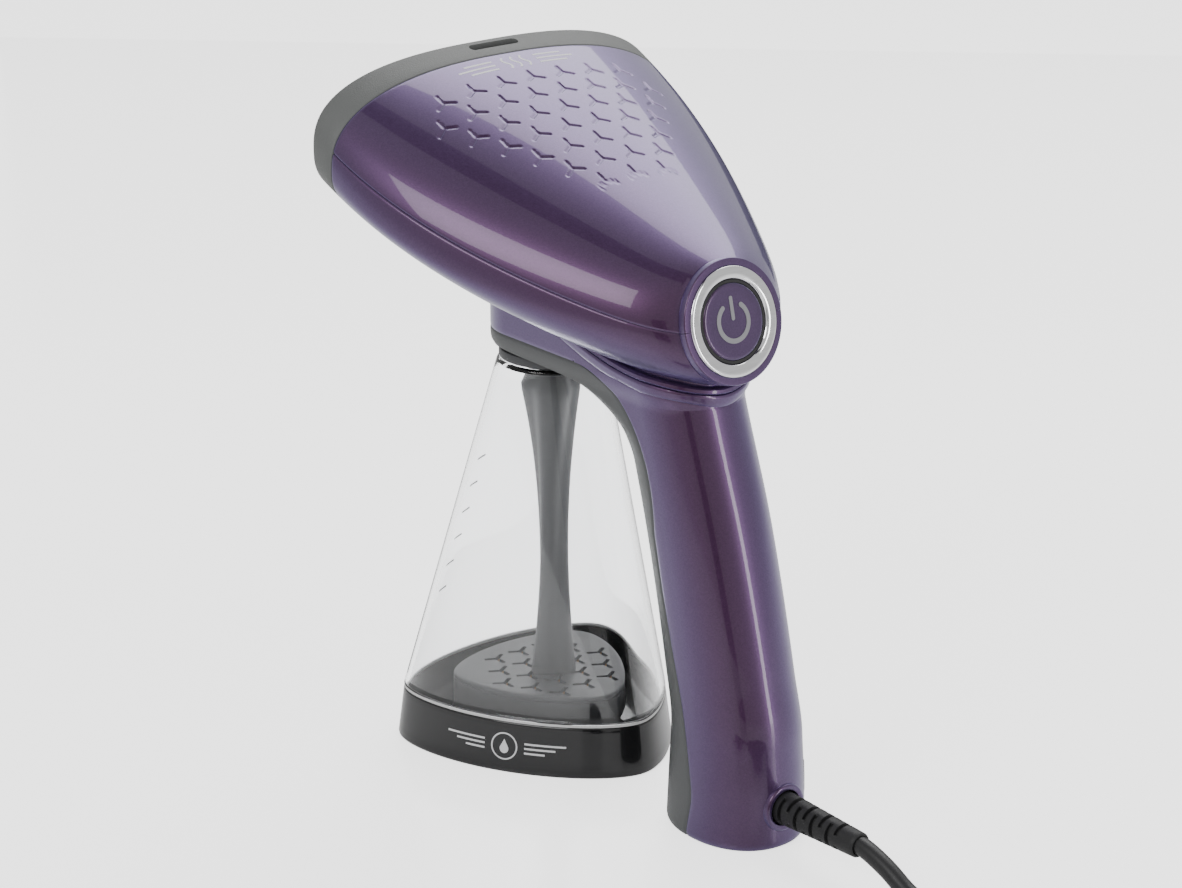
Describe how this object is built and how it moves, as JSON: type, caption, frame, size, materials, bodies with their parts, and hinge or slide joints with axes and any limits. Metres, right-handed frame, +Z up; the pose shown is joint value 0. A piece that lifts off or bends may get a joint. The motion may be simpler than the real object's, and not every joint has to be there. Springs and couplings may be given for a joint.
{
  "type": "handheld garment steamer",
  "caption": "Handheld garment steamer: wide slot-shaped steam head, violet gooseneck grip with a round power button, clear draw-off water tank, coiled mains lead with a two-pin plug.",
  "frame": {"origin": "centre of the tank's foot on the table, under the tank's neck axis", "axes": "+Z up from the table; the steam plate faces -Y; the grip and the power button are on the +Y side; X = 0 is the middle plane"},
  "size_m": [0.225, 0.3775, 0.2645],
  "materials": {
    "shell_paint": "metallic violet lacquer with a clear coat, gloss",
    "bezel_grey": "light grey, fine satin texture",
    "trim_grey": "mid grey, satin",
    "plate_steel": "brushed",
    "chamber_cast": "as cast",
    "steel": "plain",
    "chrome_ring": "bright plated",
    "button_paint": "metallic violet, gloss",
    "icon_silver": "printed silver grey",
    "inner_black": "black, matte",
    "board_green": "solder resist",
    "clear_tank": "clear moulded polycarbonate",
    "base_black": "black, gloss",
    "stem_grey": "dark grey, matte",
    "seal_white": "light grey silicone",
    "seal_red": "red silicone",
    "soft_black": "black, matte",
    "cord_black": "black PVC, satin",
    "hose_clear": "milky silicone",
    "pump_white": "natural nylon",
    "copper": "enamelled copper winding",
    "brass": "plain",
    "ceramic": "ceramic, unglazed",
    "granules": "amber resin beads"
  },
  "bodies": {
    "steamer": {"head_upper_shell": "shell_paint", "head_lower_shell": "shell_paint", "front_bezel": "bezel_grey", "steam_plate": "plate_steel", "plate_gasket": "seal_red", "steam_chamber": "chamber_cast", "chamber_screws": "steel", "heating_element": "steel", "thermostat": "ceramic", "thermal_fuse": "ceramic", "water_inlet": "brass", "heat_shield": "steel", "button_ring": "chrome_ring", "button_housing": "inner_black", "power_switch": "inner_black", "control_board": "board_green", "handle_shell": "shell_paint", "front_trim": "trim_grey", "trim_screws": "steel", "docking_socket": "inner_black", "tank_seal": "soft_black", "inlet_hose": "hose_clear", "outlet_hose": "hose_clear", "pump_body": "pump_white", "pump_coil": "copper", "pump_spring": "steel", "cord_clamp": "inner_black", "clamp_screws": "steel", "mains_wires": "soft_black", "rating_plate": "inner_black", "strain_relief": "soft_black", "power_cord": "cord_black", "cord_coil": "cord_black", "cord_tie": "soft_black", "plug_body": "inner_black", "plug_pins": "steel"},
    "tank": {"tank_body": "clear_tank", "tank_base": "base_black", "tank_base_seal": "seal_white", "tank_collar": "soft_black", "filter_stem": "stem_grey", "suction_tube": "hose_clear", "filter_cartridge": "stem_grey", "filter_grille": "stem_grey", "filter_granules": "granules"},
    "button": {"power_button": "button_paint", "button_icon": "icon_silver"},
    "plunger": {"pump_plunger": "steel"}
  },
  "joints": [
    {"name": "tank_slide", "type": "slide", "parent": "steamer", "child": "tank", "axis": [0, 0, -1], "range_m": [0, 0.04]},
    {"name": "button_press", "type": "slide", "parent": "steamer", "child": "button", "axis": [0, -0.972, -0.2351], "range_m": [0, 0.0015], "stiffness_N_per_m": 1500, "springref_m": -0.0005},
    {"name": "plunger_stroke", "type": "slide", "parent": "steamer", "child": "plunger", "axis": [0, 0, 1], "range_m": [0, 0.003], "stiffness_N_per_m": 800, "springref_m": -0.001, "deforming": ["pump_spring"]}
  ]
}
